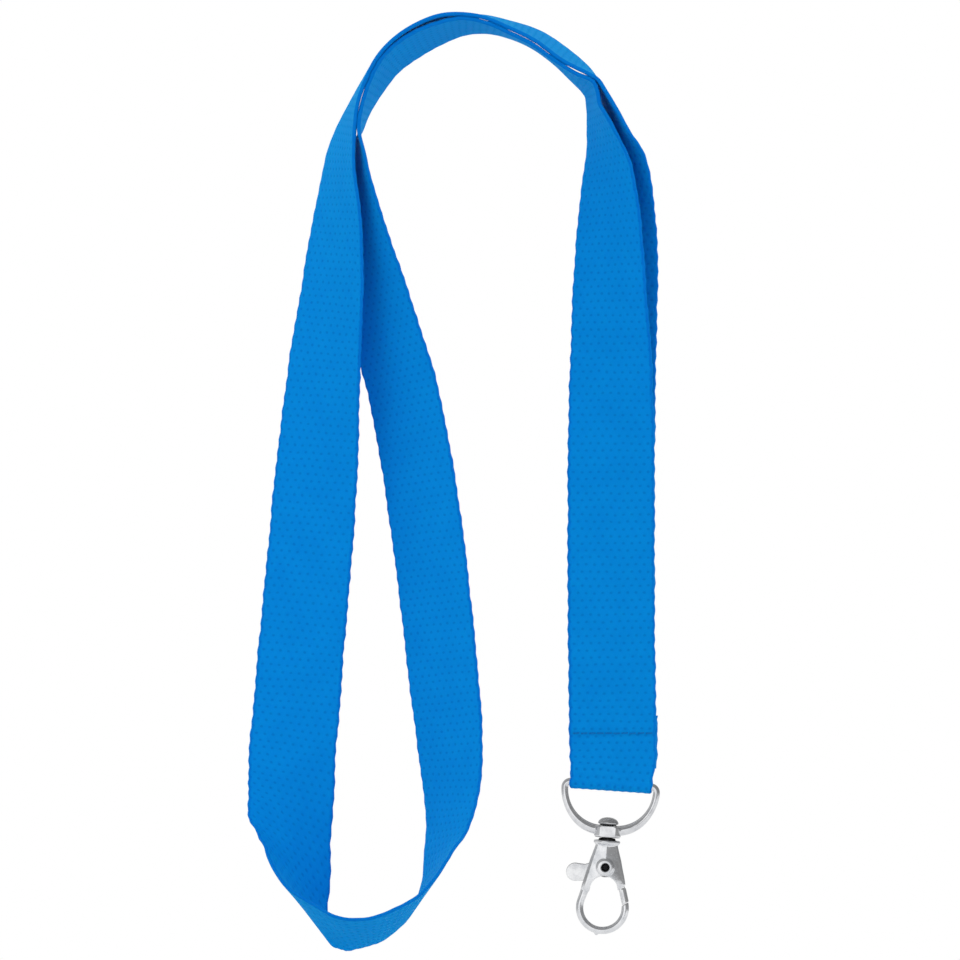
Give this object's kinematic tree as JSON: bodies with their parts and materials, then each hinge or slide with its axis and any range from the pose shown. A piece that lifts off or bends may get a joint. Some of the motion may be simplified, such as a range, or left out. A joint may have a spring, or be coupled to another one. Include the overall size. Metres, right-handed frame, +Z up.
{
  "type": "lanyard badge holder",
  "caption": "Blue woven neck lanyard, sewn round a metal D-ring that carries a swivelling trigger hook for a badge, hanging in a loose arch",
  "frame": {"origin": "where the strap's arch rests on the peg or neck that carries it, at its inner top and mid-width", "axes": "+Z up, the strap hanging down from the origin; the side that faces away from the wearer looks along -Y; +X to the viewer's right"},
  "size_m": [0.0949, 0.029, 0.2157],
  "materials": {
    "webbing": "tightly woven polyester, semi-matte, slightly darker at the selvedges",
    "seam_thread": "matte sewing thread in the strap's colour",
    "ring_nickel": "polished nickel plate",
    "hook_cast": "plated die casting, bright with soft edges",
    "trigger_cast": "plated die casting, smooth thumb tab",
    "rivet_steel": "peened, plated steel",
    "pin_steel": "plain steel, recessed",
    "spring_steel": "plain spring wire"
  },
  "bodies": {
    "lanyard": {"webbing_strap": "webbing", "needle_thread": "seam_thread", "bobbin_thread": "seam_thread"},
    "ring": {"d_ring": "ring_nickel"},
    "hook": {"swivel_rivet": "rivet_steel", "hook_body": "hook_cast", "lever_pin": "pin_steel", "lever_spring": "spring_steel"},
    "trigger": {"trigger_lever": "trigger_cast"}
  },
  "joints": [
    {"name": "ring_swing", "type": "hinge", "parent": "lanyard", "child": "ring", "pos_m": [0.0306, 0, -0.1725], "axis": [0.9976, 0, -0.0698], "range_deg": [-120, 120]},
    {"name": "hook_swivel", "type": "hinge", "parent": "ring", "child": "hook", "pos_m": [0.02983, 0, -0.18347], "axis": [0.0698, 0, 0.9976], "continuous": true},
    {"name": "trigger_press", "type": "hinge", "parent": "hook", "child": "trigger", "pos_m": [0.02926, 0, -0.19165], "axis": [0, 1, 0], "range_deg": [0, 28], "stiffness_Nm_per_rad": 0.006, "springref_deg": -8.59}
  ]
}
